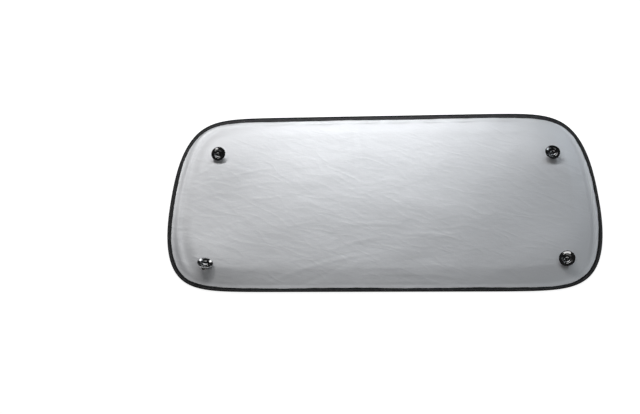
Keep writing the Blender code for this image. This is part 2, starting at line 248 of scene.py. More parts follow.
def eyelet_distances(spots):
    """Distances of flat points from the four eyelets."""
    centres = np.array([centre.xy for centre in EYELETS.values()])
    return np.linalg.norm(spots[:, None, :] - centres[None, :, :], axis=2)


def eyelet_distance(spots):
    """Distance of flat points from the nearest eyelet."""
    return eyelet_distances(spots).min(axis=1)


def vertex_places(shape):
    return np.array([vert.co[:] for vert in shape.verts])


def move_vertices(shape, places):
    for vert, place in zip(shape.verts, places):
        vert.co = place


class Outline:
    """The shade's outline over its binding, with long straight edges and round sides."""

    def __init__(self):
        turns = np.linspace(-math.pi / 2, 3 * math.pi / 2, OUTLINE_STEPS + 1)
        half_size = np.array((HALF_WIDTH, HALF_HEIGHT))
        powers = np.array((EDGE_SQUARENESS, SIDE_SQUARENESS))
        ways = np.stack([np.cos(turns), np.sin(turns)], axis=1)
        shares = np.abs(ways) / half_size
        reach = 1 / shares.max(axis=1)
        for _ in range(OUTLINE_ROUNDS):
            terms = (reach[:, None] * shares) ** powers
            reach -= reach * (terms.sum(axis=1) - 1) / (terms * powers).sum(axis=1)
        self.points = reach[:, None] * ways
        slopes = powers * (reach[:, None] * shares) ** (powers - 1) / half_size
        slopes *= np.sign(self.points)
        self.normals = slopes / np.linalg.norm(slopes, axis=1)[:, None]
        steps = np.linalg.norm(np.diff(self.points, axis=0), axis=1)
        self.travel = np.concatenate([[0.0], np.cumsum(steps)])
        self.length = self.travel[-1]
        self.tree = kdtree.KDTree(OUTLINE_STEPS)
        for i, point in enumerate(self.points[:-1]):
            self.tree.insert((point[0], point[1], 0.0), i)
        self.tree.balance()

    def at(self, travel):
        """Points and outward directions after walks round from the bottom centre."""
        walked = travel % self.length
        columns = [np.interp(walked, self.travel, table[:, i])
                   for table in (self.points, self.normals) for i in (0, 1)]
        normals = np.stack(columns[2:], axis=1)
        return np.stack(columns[:2], axis=1), normals / np.linalg.norm(normals, axis=1)[:, None]

    def nearest(self, spots):
        """Distances inside the outline, walks round to there, and outward directions."""
        index = [self.tree.find((x, y, 0.0))[1] for x, y in spots]
        out = self.normals[index]
        return ((self.points[index] - spots) * out).sum(axis=1), self.travel[index], out


OUTLINE = Outline()


class Value:
    """A number in a material. Python's operators on it add Math nodes."""

    def __init__(self, finish, socket):
        self.finish = finish
        self.socket = socket

    def math(self, operation, *others):
        sockets = dict(enumerate((self, *others)))
        return self.finish.node("ShaderNodeMath", {"operation": operation}, sockets)

    def __add__(self, other):
        return self.math("ADD", other)

    __radd__ = __add__

    def __mul__(self, other):
        return self.math("MULTIPLY", other)

    __rmul__ = __mul__

    def sine(self):
        return self.math("SINE")

    def larger(self, other):
        return self.math("MAXIMUM", other)

    def size(self):
        return self.math("ABSOLUTE")

    def between(self, low, high):
        """0 up to low and 1 from high, with an even S between."""
        settings = {"interpolation_type": "SMOOTHSTEP"}
        return self.finish.node("ShaderNodeMapRange", settings, {0: self, 1: low, 2: high})


class Finish:
    """A material and the nodes in it."""

    COLOUR_MIX = {"data_type": "RGBA", "clamp_factor": True}
    MIX_SHARE, MIX_FIRST, MIX_SECOND, MIX_RESULT = 0, 6, 7, 2

    def __init__(self, name):
        self.material = bpy.data.materials.new(name)
        self.material.use_nodes = True
        self.tree = self.material.node_tree
        self.tree.nodes.clear()

    def node(self, kind, settings=None, sockets=None, out=0):
        """Adds a node: its settings first, then the values or links of its sockets."""
        node = self.tree.nodes.new(kind)
        for name, value in (settings or {}).items():
            setattr(node, name, value)
        for name, value in (sockets or {}).items():
            if isinstance(value, Value):
                self.tree.links.new(value.socket, node.inputs[name])
            else:
                node.inputs[name].default_value = value
        return Value(self, node.outputs[out])

    def mix(self, share, first, second):
        """Colour between two colours."""
        sockets = {self.MIX_SHARE: share, self.MIX_FIRST: first, self.MIX_SECOND: second}
        return self.node("ShaderNodeMix", self.COLOUR_MIX, sockets, self.MIX_RESULT)

    def place(self):
        """Point on the piece, in the model's frame."""
        return self.node("ShaderNodeTexCoord", out="Object")

    def flat_place(self, name):
        """Point on the piece's own flat map, in metres."""
        return self.node("ShaderNodeUVMap", {"uv_map": name})

    def attribute(self, name):
        return self.node("ShaderNodeAttribute", {"attribute_name": name}, out="Fac")

    def axes(self, vector):
        """The three numbers of a vector."""
        first = self.node("ShaderNodeSeparateXYZ", sockets={0: vector})
        outputs = first.socket.node.outputs
        return [Value(self, outputs[i]) for i in range(3)]

    def stretch(self, vector, scale):
        return self.node("ShaderNodeMapping", sockets={"Vector": vector, "Scale": scale})

    def turned(self, vector, angle, scale):
        """A flat map, turned first and then stretched along its new axes."""
        return self.stretch(self.node("ShaderNodeVectorRotate", {"rotation_type": "Z_AXIS"},
                                      {"Vector": vector, "Angle": angle}), scale)

    def crease_lines(self, vector):
        """Thin meandering ridges."""
        sockets = {"Vector": vector, "Scale": 1.0, "Detail": 3.0, "Roughness": 0.5,
                   "Distortion": 0.6, "Offset": 0.9, "Gain": 1.0}
        return self.node("ShaderNodeTexNoise", {"noise_type": "RIDGED_MULTIFRACTAL"}, sockets)

    def noise(self, vector, scale, detail=2.0, roughness=0.5, distortion=0.0):
        sockets = {"Vector": vector, "Scale": scale, "Detail": detail, "Roughness": roughness,
                   "Distortion": distortion}
        return self.node("ShaderNodeTexNoise", sockets=sockets)

    def bump(self, height, depth):
        sockets = {"Height": height, "Distance": depth, "Strength": 1.0}
        return self.node("ShaderNodeBump", sockets=sockets, out="Normal")

    def principled(self, **sockets):
        named = {name.replace("_", " "): value for name, value in sockets.items()}
        return self.node("ShaderNodeBsdfPrincipled", sockets=named, out="BSDF")

    def surface(self, shader):
        output = self.tree.nodes.new("ShaderNodeOutputMaterial")
        self.tree.links.new(shader.socket, output.inputs["Surface"])
        return self.material


def shade_of(colour, factor):
    """The same hue, lighter or darker."""
    return (*(min(1.0, factor * part) for part in colour[:3]), 1.0)


def silver_cloth(name, colour, metallic, roughness):
    """Silver-coated taffeta: fine square weave, a cloudy coat, small crumples, and a painted sheen
    near the hem.
    """
    finish = Finish(name)
    cut = finish.flat_place("cut")
    across, along, _ = finish.axes(cut)
    turns = math.tau / THREAD_PITCH
    weave = (across * turns).sine() * (along * turns).sine()
    clouds = finish.noise(cut, 5.0, 3.0, 0.55)
    fine = finish.noise(finish.stretch(cut, (60.0, 110.0, 1.0)), 1.0, 4.0, 0.6, 0.4)
    crumple = finish.noise(finish.stretch(cut, (14.0, 30.0, 1.0)), 1.0, 3.0, 0.5, 1.2)
    lines = finish.crease_lines(finish.turned(cut, math.radians(24.0), (13.0, 38.0, 1.0)))
    hem = finish.attribute("hem_painted_sheen")
    tone = finish.mix(clouds, shade_of(colour, 0.95), shade_of(colour, 1.05))
    # Painted sheen: near the hem the colour is lightened, as if the cloth caught more light there
    tone = finish.mix(hem, tone, shade_of(colour, 1.28))
    height = (weave * WEAVE_DEPTH + fine * FINE_DEPTH + crumple * CRUMPLE_DEPTH
              + lines * LINE_DEPTH)
    shader = finish.principled(
        Base_Color=tone,
        Metallic=metallic,
        Roughness=fine * 0.10 + (roughness - 0.05),
        Sheen_Weight=0.08,
        Normal=finish.bump(height, 1.0),
    )
    return finish.surface(shader)


def woven_tape(colour):
    """Black polyester tape: ribs across it, a soft sheen, and lighter worn patches here and there."""
    finish = Finish("black_woven_tape")
    flat = finish.flat_place("tape")
    along, across, _ = finish.axes(flat)
    ribs = (along * (math.tau / RIB_PITCH)).sine().size()
    twill = ((along + across) * (math.tau / TWILL_PITCH)).sine()
    fuzz = finish.noise(flat, 900.0, 2.0, 0.6)
    wear = finish.noise(flat, 45.0, 3.0, 0.6)
    height = ribs * 0.00005 + twill * 0.00002 + fuzz * 0.00003
    shader = finish.principled(
        Base_Color=finish.mix(wear, shade_of(colour, 0.8), shade_of(colour, 1.5)),
        Roughness=wear * 0.15 + 0.36,
        Specular_IOR_Level=0.35,
        Sheen_Weight=0.03,
        Sheen_Roughness=0.4,
        Normal=finish.bump(height, 1.0),
    )
    return finish.surface(shader)


def sewing_thread(colour):
    """Twisted polyester thread."""
    finish = Finish("sewing_thread")
    place = finish.place()
    x, y, _ = finish.axes(place)
    twist = ((x + y) * (math.tau / TWIST_PITCH)).sine()
    shade = finish.noise(place, 300.0)
    shader = finish.principled(
        Base_Color=finish.mix(shade, shade_of(colour, 0.9), shade_of(colour, 1.6)),
        Roughness=shade * 0.1 + 0.38,
        Normal=finish.bump(twist, 0.00004),
    )
    return finish.surface(shader)


def drawn_steel(colour):
    """Spring steel, drawn along its length, with faint oil stains."""
    finish = Finish("drawn_spring_steel")
    place = finish.place()
    lines = finish.noise(finish.stretch(place, (40.0, 40.0, 2600.0)), 1.0, 3.0, 0.6)
    stain = finish.noise(place, 60.0, 3.0)
    shader = finish.principled(
        Base_Color=finish.mix(stain, shade_of(colour, 0.7), colour),
        Metallic=1.0,
        Roughness=lines * 0.2 + 0.22,
        Normal=finish.bump(lines, 0.00002),
    )
    return finish.surface(shader)


def nickel_plate(colour):
    """Bright plated brass: fine scratches, and fingermarks that dull it here and there."""
    finish = Finish("nickel_plate")
    place = finish.place()
    scratches = finish.noise(finish.stretch(place, (3000.0, 500.0, 500.0)), 1.0, 2.0, 0.7)
    marks = finish.noise(place, 260.0, 3.0, 0.6)
    shader = finish.principled(
        Base_Color=finish.mix(marks, shade_of(colour, 0.86), colour),
        Metallic=1.0,
        Roughness=marks * 0.18 + 0.12,
        Normal=finish.bump(scratches, 0.000008),
    )
    return finish.surface(shader)


def glossy_plastic(colour):
    """Soft moulded plastic: a wet-looking gloss, slightly uneven, with a little dust."""
    finish = Finish("glossy_black_plastic")
    place = finish.place()
    skin = finish.noise(place, 140.0, 2.0, 0.5)
    dust = finish.noise(place, 1400.0, 2.0, 0.7).between(0.60, 0.80)
    shader = finish.principled(
        Base_Color=finish.mix(dust * 0.5, colour, shade_of(colour, 4.0)),
        Roughness=dust * 0.20 + skin * 0.06 + 0.10,
        IOR=1.55,
        Coat_Weight=1.0,
        Coat_IOR=2.0,
        Coat_Roughness=0.05,
        Normal=finish.bump(skin, 0.00006),
    )
    return finish.surface(shader)


def bare_floor(colour):
    """Pale floor that the camera and the gloss see as white, but for the shade's shadow."""
    finish = Finish("pale_floor")
    path = [finish.node("ShaderNodeLightPath", out=name)
            for name in ("Is Camera Ray", "Is Glossy Ray", "Is Transmission Ray")]
    seen = path[0].larger(path[1]).larger(path[2])
    grain = finish.noise(finish.place(), 30.0, 3.0)
    paint = finish.principled(
        Base_Color=finish.mix(grain, shade_of(colour, 0.98), colour),
        Roughness=0.85,
        Specular_IOR_Level=0.1,
    )
    white = {"Color": (1.0, 1.0, 1.0, 1.0), "Strength": FLOOR_GLOW}
    glow = finish.node("ShaderNodeEmission", sockets=white)
    bright = finish.node("ShaderNodeAddShader", sockets={0: paint, 1: glow})
    return finish.surface(finish.node("ShaderNodeMixShader", sockets={0: seen, 1: paint, 2: bright}))


def new_piece(name, shape, finishes, body=None, smooth_angle=None):
    """Object made of a bmesh, which rides on a body; its place is in its mesh."""
    mesh = bpy.data.meshes.new(name)
    shape.to_mesh(mesh)
    shape.free()
    mesh.shade_smooth()
    if smooth_angle is not None:
        mesh.set_sharp_from_angle(angle=smooth_angle)
    for finish in finishes:
        mesh.materials.append(finish)
    piece = bpy.data.objects.new(name, mesh)
    bpy.context.scene.collection.objects.link(piece)
    if body is not None:
        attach(piece, body)
    return piece


def turned_shape(profile, steps):
    """Closed turned shape from a profile of (radius, height) points about the Z axis.

    A profile that starts and ends on the axis closes there; any other one is joined up into a
    ring.
    """
    shape = bmesh.new()
    points = [shape.verts.new((radius, 0.0, height)) for radius, height in profile]
    edges = [shape.edges.new(pair) for pair in zip(points, points[1:])]
    if profile[0][0] > 0:
        edges.append(shape.edges.new((points[-1], points[0])))
    bmesh.ops.spin(shape, geom=points + edges, cent=(0, 0, 0), axis=(0, 0, 1), angle=math.tau,
                   steps=steps, use_merge=True)
    bmesh.ops.remove_doubles(shape, verts=shape.verts[:], dist=MERGE_DISTANCE)
    bmesh.ops.recalc_face_normals(shape, faces=shape.faces[:])
    return shape


def repeat_along(shape, step, count):
    """Fills a row along +X with copies of a shape, by doubling; what is past the count goes."""
    made = 1
    while made < count:
        copies = bmesh.ops.duplicate(shape, geom=shape.verts[:] + shape.edges[:] + shape.faces[:])
        verts = [item for item in copies["geom"] if isinstance(item, bmesh.types.BMVert)]
        bmesh.ops.translate(shape, vec=(made * step, 0.0, 0.0), verts=verts)
        made *= 2
    surplus = [vert for vert in shape.verts if vert.co.x > (count - 0.5) * step]
    bmesh.ops.delete(shape, geom=surplus, context="VERTS")


def arc(centre, radius, start, end, steps):
    """Points on an arc, from one angle in degrees to another."""
    turns = [math.radians(start + (end - start) * i / steps) for i in range(steps + 1)]
    return [(centre[0] + radius * math.cos(a), centre[1] + radius * math.sin(a)) for a in turns]


def net_lines(half_size, marks, cell):
    """Even grid lines from edge to edge that also pass through the marks."""
    stops = [-half_size, *sorted(marks), half_size]
    lines = [stops[0]]
    for start, end in zip(stops, stops[1:]):
        parts = max(1, round((end - start) / cell))
        lines.extend(start + (end - start) * (i + 1) / parts for i in range(parts))
    return lines


def cut_cloth(cell):
    """Flat net of the cut cloth: square cells, trimmed to the outline and holed for the eyelets."""
    net = bmesh.new()
    x_lines = net_lines(HALF_WIDTH - CLOTH_EDGE_INSET, {c.x for c in EYELETS.values()}, cell)
    y_lines = net_lines(HALF_HEIGHT - CLOTH_EDGE_INSET, {c.y for c in EYELETS.values()}, cell)
    columns = len(x_lines) - 1
    rows = len(y_lines) - 1
    bmesh.ops.create_grid(net, x_segments=columns, y_segments=rows, size=1.0)
    for vert in net.verts:
        x = x_lines[round((vert.co.x + 1) / 2 * columns)]
        y = y_lines[round((vert.co.y + 1) / 2 * rows)]
        vert.co = (x, y, 0.0)
    middles = np.array([face.calc_center_median().xy for face in net.faces])
    inside = OUTLINE.nearest(middles)[0] >= CLOTH_EDGE_INSET - 0.25 * cell
    outside = [face for face, kept in zip(net.faces, inside) if not kept]
    bmesh.ops.delete(net, geom=outside, context="FACES")
    border = [vert for vert in net.verts if vert.is_boundary]
    insets, _, outs = OUTLINE.nearest(np.array([vert.co.xy for vert in border]))
    for vert, inset, out in zip(border, insets, outs):
        vert.co.xy += Vector(out) * (inset - CLOTH_EDGE_INSET)
    for centre in EYELETS.values():
        spot = min(net.verts, key=lambda vert: (vert.co.xy - centre.xy).length)
        ring = {other for face in spot.link_faces for other in face.verts} - {spot}
        bmesh.ops.delete(net, geom=[spot], context="VERTS")
        for vert in ring:
            vert.co.xy = centre.xy + CLOTH_HOLE * (vert.co.xy - centre.xy).normalized()
    return net


def lifted_height(spots):
    """Height of the cloth before it settles: up from the hoop, highest in a flat at each eyelet."""
    inset = OUTLINE.nearest(spots)[0]
    hem = RIM_HEIGHT + HEM_SLOPE * np.minimum(inset - BEAD_RADIUS, WING_TIP)
    rise = 1 - (1 - np.clip((inset - WING_REACH) / RISE_REACH, 0.0, 1.0)) ** RISE_POWER
    near = ridge(eyelet_distances(spots), 0.0, MIDDLE_REACH).sum(axis=1)
    return hem + (EYELET_HEIGHT - HEM_HEIGHT) * rise * (MIDDLE_SHARE + (1 - MIDDLE_SHARE) * near)


def settle_cloth(draft, spots, slack, frames):
    """Points of the cloth once it has come to rest, held at its binding and its eyelets."""
    inset = OUTLINE.nearest(spots)[0]
    held = (inset < WING_REACH) | (eyelet_distance(spots) < CLOTH_FLAT)
    wobble = drift(spots, 18.0, 26.0, 3.7) + 0.5 * drift(spots, 50.0, 60.0, 9.1)
    height = lifted_height(spots) + np.where(held, 0.0, WOBBLE_HEIGHT * wobble)
    start = np.column_stack([spots, np.maximum(height, 2 * LOWEST_CLOTH)])
    cut = start * (1 + slack, 1 + slack, 1.0)
    draft.shape_key_add(name="start").data.foreach_set("co", (start * SETTLING_SCALE).ravel())
    rest = draft.shape_key_add(name="cut")
    rest.data.foreach_set("co", (cut * SETTLING_SCALE).ravel())
    group = draft.vertex_groups.new(name="held")
    group.add([int(i) for i in np.nonzero(held)[0]], 1.0, "REPLACE")
    floor = settling_floor()
    add_cloth_solver(draft, rest, frames)
    for number in range(1, frames + 1):
        bpy.context.scene.frame_set(number)
    settled = np.zeros(len(spots) * 3)
    graph = bpy.context.evaluated_depsgraph_get()
    draft.evaluated_get(graph).data.vertices.foreach_get("co", settled)
    bpy.context.scene.frame_set(1)
    bpy.data.objects.remove(floor)
    return settled.reshape(-1, 3) / SETTLING_SCALE


def settling_floor():
    shape = bmesh.new()
    bmesh.ops.create_grid(shape, x_segments=1, y_segments=1, size=SETTLING_FLOOR_SIZE)
    floor = new_piece("settling_floor", shape, [])
    floor.modifiers.new("hit", "COLLISION")
    floor.collision.thickness_outer = 0.003
    floor.collision.cloth_friction = 20.0
    return floor


def add_cloth_solver(draft, rest, frames):
    modifier = draft.modifiers.new("cloth", "CLOTH")
    settings = modifier.settings
    settings.quality = 6
    settings.mass = 0.15
    settings.tension_stiffness = 40.0
    settings.compression_stiffness = 40.0
    settings.shear_stiffness = 8.0
    settings.bending_stiffness = 12.0
    settings.air_damping = 2.0
    settings.effector_weights.gravity = 0.02
    settings.vertex_group_mass = "held"
    settings.rest_shape_key = rest
    modifier.collision_settings.distance_min = 0.003
    modifier.collision_settings.collision_quality = 3
    modifier.collision_settings.use_self_collision = False
    modifier.point_cache.frame_start = 1
    modifier.point_cache.frame_end = frames


def side_shares(out):
    """How far each outward direction belongs to the left, bottom, right and top side."""
    return *(np.maximum(-out, 0.0) ** 2).T, *(np.maximum(out, 0.0) ** 2).T


def roll(past, sizes, sway=0.0):
    """Height of a long soft swell beside the tape, whose line sways."""
    height, distance, half_width = sizes
    return height * ridge(past, distance + sway, half_width)


def edge_roll(inset, travel, out):
    """How the cloth swells or dips beside the tape, on each side of the shade in its own way.

    On the left it stands up in a wide soft roll and on the top in scallops; on the right and
    at the bottom it dips from the tape.
    """
    left, bottom, right, top = side_shares(out)
    walk = np.column_stack([travel, np.zeros(len(travel))])
    slow = drift(walk, 12.0, 0.0, 1.7)
    scallop = np.abs(np.sin(travel * SCALLOPS_PER_METRE + 2.0 * drift(walk, 3.2, 0.0, 5.0)))
    past = inset - WING_REACH
    swell = left * (1 + 0.3 * slow) * roll(past, LEFT_ROLL, 0.0015 * slow)
    swell += left * top * roll(past, CORNER_ROLL)
    swell += top * (0.35 + 0.65 * scallop) * roll(past, TOP_SCALLOPS, 0.003 * scallop)
    dip = right * (1 + 0.3 * slow) * roll(past, RIGHT_DIP)
    dip += bottom * (1 + 0.4 * slow) * roll(past, BOTTOM_DIP)
    return swell - dip


def painted_sheen_at_hem(inset, out):
    """Painted sheen: how much lighter the cloth's colour is painted near the hem, widest at the
    bottom left.
    """
    left, bottom, right, _ = side_shares(out)
    past = inset - WING_REACH
    return sum(share * strength * (1 - soft_step(past, full, gone))
               for share, (strength, full, gone)
               in zip((left, right, bottom, left * bottom), HEM_PAINTED_SHEENS))


def creases(spots):
    """Height of the pressed folds at flat points."""
    total = np.zeros(len(spots))
    for x0, y0, x1, y1, bow, half_width, height in CREASES:
        run = np.array((x1 - x0, y1 - y0))
        length = np.linalg.norm(run)
        steps = spots - (x0, y0)
        share = steps @ run / length ** 2
        aside = (run[0] * steps[:, 1] - run[1] * steps[:, 0]) / length - bow * 4 * share * (1 - share)
        ends = soft_step(share, *CREASE_START) * (1 - soft_step(share, *CREASE_END))
        total += height * ends * ridge(aside, 0.0, half_width)
    return total


class SunshadeClothSettings(bpy.types.PropertyGroup):
    colour: FloatVectorProperty(
        name="Silver", description="Colour of the coated face", subtype="COLOR", size=4,
        default=(0.74, 0.745, 0.76, 1.0))
    back_colour: FloatVectorProperty(
        name="Back", description="Colour of the uncoated back", subtype="COLOR", size=4,
        default=(0.42, 0.43, 0.44, 1.0))
    metallic: FloatProperty(
        name="Metallic", description="How much the coat shines like metal", subtype="FACTOR",
        min=0.0, max=1.0, default=0.5)
    roughness: FloatProperty(
        name="Roughness", description="How soft its reflections are", subtype="FACTOR",
        min=0.0, max=1.0, default=0.46)
    cell: FloatProperty(
        name="Cell", description="Size of the net that the cloth is settled on", unit="LENGTH",
        default=0.0070)
    slack: FloatProperty(
        name="Slack", description="Spare length of the cloth in its hoop", subtype="FACTOR",
        default=0.0010)
    waves: FloatProperty(
        name="Waves", description="Share of its waves that the taut hoop leaves", subtype="FACTOR",
        min=0.0, max=1.0, default=0.12)
    thickness: FloatProperty(
        name="Thickness", description="Thickness of the cloth", unit="LENGTH", default=0.00025)
    frames: IntProperty(
        name="Settling frames", description="Frames that the cloth is given to settle", default=36)


class SunshadeBindingSettings(bpy.types.PropertyGroup):
    colour: FloatVectorProperty(
        name="Tape", description="Colour of the binding tape", subtype="COLOR", size=4,
        default=(0.004, 0.004, 0.005, 1.0))
    tape: FloatProperty(
        name="Tape thickness", description="Thickness of the tape", unit="LENGTH", default=0.0005)
    stitch: FloatProperty(
        name="Stitch length", description="Length of a stitch", unit="LENGTH", default=0.0027)
    pitch: FloatProperty(
        name="Stitch pitch", description="Distance from one stitch to the next", unit="LENGTH",
        default=0.0037)
    steps: IntProperty(
        name="Steps", description="Steps round the hoop", default=1400)


class SunshadeFastenerSettings(bpy.types.PropertyGroup):
    steel: FloatVectorProperty(
        name="Steel", description="Colour of the spring wire", subtype="COLOR", size=4,
        default=(0.46, 0.45, 0.44, 1.0))
    nickel: FloatVectorProperty(
        name="Nickel", description="Colour of the eyelets", subtype="COLOR", size=4,
        default=(0.74, 0.72, 0.68, 1.0))
    plastic: FloatVectorProperty(
        name="Plastic", description="Colour of the suction cups", subtype="COLOR", size=4,
        default=(0.010, 0.010, 0.011, 1.0))
    cup_steps: IntProperty(name="Cup steps", description="Steps round a suction cup", default=72)
    eyelet_steps: IntProperty(name="Eyelet steps", description="Steps round an eyelet", default=48)


class SunshadeStageSettings(bpy.types.PropertyGroup):
    floor: FloatVectorProperty(
        name="Floor", description="Colour of the floor", subtype="COLOR", size=4,
        default=(0.86, 0.86, 0.86, 1.0))
    lens: FloatProperty(
        name="Lens", description="Focal length in millimetres", default=47.76)
    azimuth: FloatProperty(
        name="Azimuth", description="Side that the camera stands on", subtype="ANGLE",
        default=math.radians(7.847))
    elevation: FloatProperty(
        name="Elevation", description="Camera's height above the floor", subtype="ANGLE",
        default=math.radians(54.689))
    roll: FloatProperty(
        name="Roll", description="Camera's turn about its own line of sight", subtype="ANGLE",
        default=math.radians(-7.007))
    key_power: FloatProperty(
        name="Key power", description="Power of the upper left softbox", unit="POWER",
        default=6.9)
    middle_power: FloatProperty(
        name="Middle power", description="Power of the softbox over the upper edge", unit="POWER",
        default=5.1)
    side_power: FloatProperty(
        name="Side power", description="Power of the upper right softbox", unit="POWER",
        default=1.4)
    strip_power: FloatProperty(
        name="Strip power", description="Power of the narrow softbox on the right", unit="POWER",
        default=1.5)
    front_power: FloatProperty(
        name="Front power", description="Power of the softbox in front", unit="POWER",
        default=3.9)
    world: FloatProperty(
        name="Surroundings", description="Strength of the light from all round", default=0.03)


class SUNSHADE_OT_cloth(bpy.types.Operator):
    """Silver cloth, settled in its hoop"""
    bl_idname = "sunshade.cloth"
    bl_label = "Silver cloth"

    def execute(self, context):
        settings = context.scene.sunshade_cloth
        net = cut_cloth(settings.cell)
        spots = vertex_places(net)[:, :2]
        area = sum(face.calc_area() for face in net.faces)
        draft = new_piece("cloth_in_the_making", net, [])
        settled = settle_cloth(draft, spots, settings.slack, settings.frames)
        shape = self.settled_shape(draft, spots, settled, settings.waves)
        finishes = [silver_cloth("silver_cloth", settings.colour, settings.metallic,
                                 settings.roughness),
                    silver_cloth("grey_cloth_back", settings.back_colour, 0.25, 0.6)]
        cloth = new_piece("silver_cloth", shape, finishes, PANEL_BODY)
        wall = cloth.modifiers.new("thickness", "SOLIDIFY")
        wall.thickness = settings.thickness
        wall.offset = 0.0
        wall.material_offset = 1
        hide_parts("fabric_panel")
        return {"FINISHED"}

    def settled_shape(self, draft, spots, settled, waves):
        """Finer net of the settled cloth, drawn taut by the hoop, with its folds pressed in."""
        shape = bmesh.new()
        shape.from_mesh(draft.data)
        bpy.data.objects.remove(draft)
        cut_map = shape.loops.layers.uv.new("cut")
        for face in shape.faces:
            for loop in face.loops:
                x, y = spots[loop.vert.index]
                loop[cut_map].uv = (x + 0.5, y + 0.5)
        taut = np.column_stack([spots, lifted_height(spots)])
        move_vertices(shape, settled)
        for _ in range(WAVE_SMOOTHINGS):
            bmesh.ops.smooth_vert(shape, verts=shape.verts[:], factor=0.5, use_axis_z=True)
        move_vertices(shape, taut + waves * (vertex_places(shape) - taut))
        bmesh.ops.subdivide_edges(shape, edges=shape.edges[:], cuts=1, use_grid_fill=True,
                                  smooth=0.6)
        places = vertex_places(shape)
        inset, travel, out = OUTLINE.nearest(places[:, :2])
        near = eyelet_distance(places[:, :2])
        free = soft_step(near, CLOTH_FLAT, CLOTH_FLAT + EYELET_BLEND)
        height = places[:, 2] + free * (edge_roll(inset, travel, out) + creases(places[:, :2]))
        height = np.maximum(height, LOWEST_CLOTH)
        seat = soft_step(inset, SEAT_START, SEAT_END)
        hem = RIM_HEIGHT + HEM_SLOPE * (inset - BEAD_RADIUS)
        height = hem + (height - hem) * seat
        places[:, 2] = np.where(near < CLOTH_FLAT, EYELET_HEIGHT, height)
        move_vertices(shape, places)
        # Share of painted sheen near the hem, by which the cloth's material lightens its colour
        hem_painted_sheen = shape.verts.layers.float.new("hem_painted_sheen")
        for vert, shine in zip(shape.verts, painted_sheen_at_hem(inset, out)):
            vert[hem_painted_sheen] = shine
        return shape


def wing_height(out):
    """Height of the tape's inner face over the cloth's middle: it closes towards its tip."""
    closing = float(soft_step(-out, 0.3 * WING_TIP, 0.6 * WING_TIP))
    return WING_GAP + (WING_GAP_AT_TIP - WING_GAP) * closing


def tape_section(tape):
    """Closed section of the folded tape, with +x outwards from the wire: bead and two wings."""
    bore = BEAD_RADIUS - tape
    edge = tape / 2 - WING_TIP
    throat_out = -math.sqrt(BEAD_RADIUS ** 2 - (WING_GAP + tape) ** 2)
    throat_in = -math.sqrt(bore ** 2 - WING_GAP ** 2)
    start = math.degrees(math.atan2(WING_GAP + tape, throat_out))
    bore_start = math.degrees(math.atan2(WING_GAP, throat_in))
    outer = [edge + (throat_out - edge) * i / 9 for i in range(9)]
    inner = [edge + (throat_in - edge) * i / 5 for i in range(5)]
    upper_out = [(x, wing_height(x) + tape) for x in outer]
    upper_in = [(x, wing_height(x)) for x in inner]
    tip_end = arc((edge, WING_GAP_AT_TIP + tape / 2), tape / 2, 270, 90, 4)[1:-1]
    bead = arc((0, 0), BEAD_RADIUS, start, -start, 16)
    hollow = arc((0, 0), bore, -bore_start, bore_start, 8)
    lower_out = [(x, -z) for x, z in reversed(upper_out)]
    lower_in = [(x, -z) for x, z in upper_in]
    lower_tip = [(x, -z) for x, z in reversed(tip_end)]
    return upper_out + bead + lower_out + lower_tip + lower_in + hollow + upper_in[::-1] + tip_end


def waves_round(turn, lag, waves):
    """Sum of sine waves round the hoop: size, number and share of the lag of each."""
    return sum(size * np.sin(count * turn + share * lag) for size, count, share in waves)


def wrap_round_hoop(shape):
    """Bends a flat shape round the hoop: its x walks along the wire, y is outwards and z is up.

    The tips of the wings stray a little from their line and pucker between the stitches. The
    tape is folded over unevenly: at the top more of it is on the front, elsewhere on the back.
    """
    travel, out, up = vertex_places(shape).T
    turn = travel * (math.tau / OUTLINE.length)
    lag = np.where(up > 0, 0.0, LOWER_LAG)
    stray = waves_round(turn, lag, TIP_STRAYS)
    pucker = waves_round(turn, lag, TIP_PUCKERS)
    on_wing = soft_step(-out, 0.45 * WING_TIP, WING_TIP)
    points, normals = OUTLINE.at(travel)
    left, bottom, right, top = side_shares(normals)
    fold = FOLD_LEFT * left + FOLD_RIGHT * right + FOLD_BOTTOM * bottom + FOLD_TOP * top
    fold *= 1 + 0.25 * np.sin(9 * turn)
    stray += np.where(up > 0, fold, -LOWER_FOLD_SHARE * fold)
    spots = points + (out - BEAD_RADIUS + on_wing * stray)[:, None] * normals
    heights = RIM_HEIGHT + up + HEM_SLOPE * np.maximum(-out, 0.0)
    heights += on_wing * pucker * np.where(up > 0, 1.0, 0.6)
    move_vertices(shape, np.column_stack([spots, heights]))


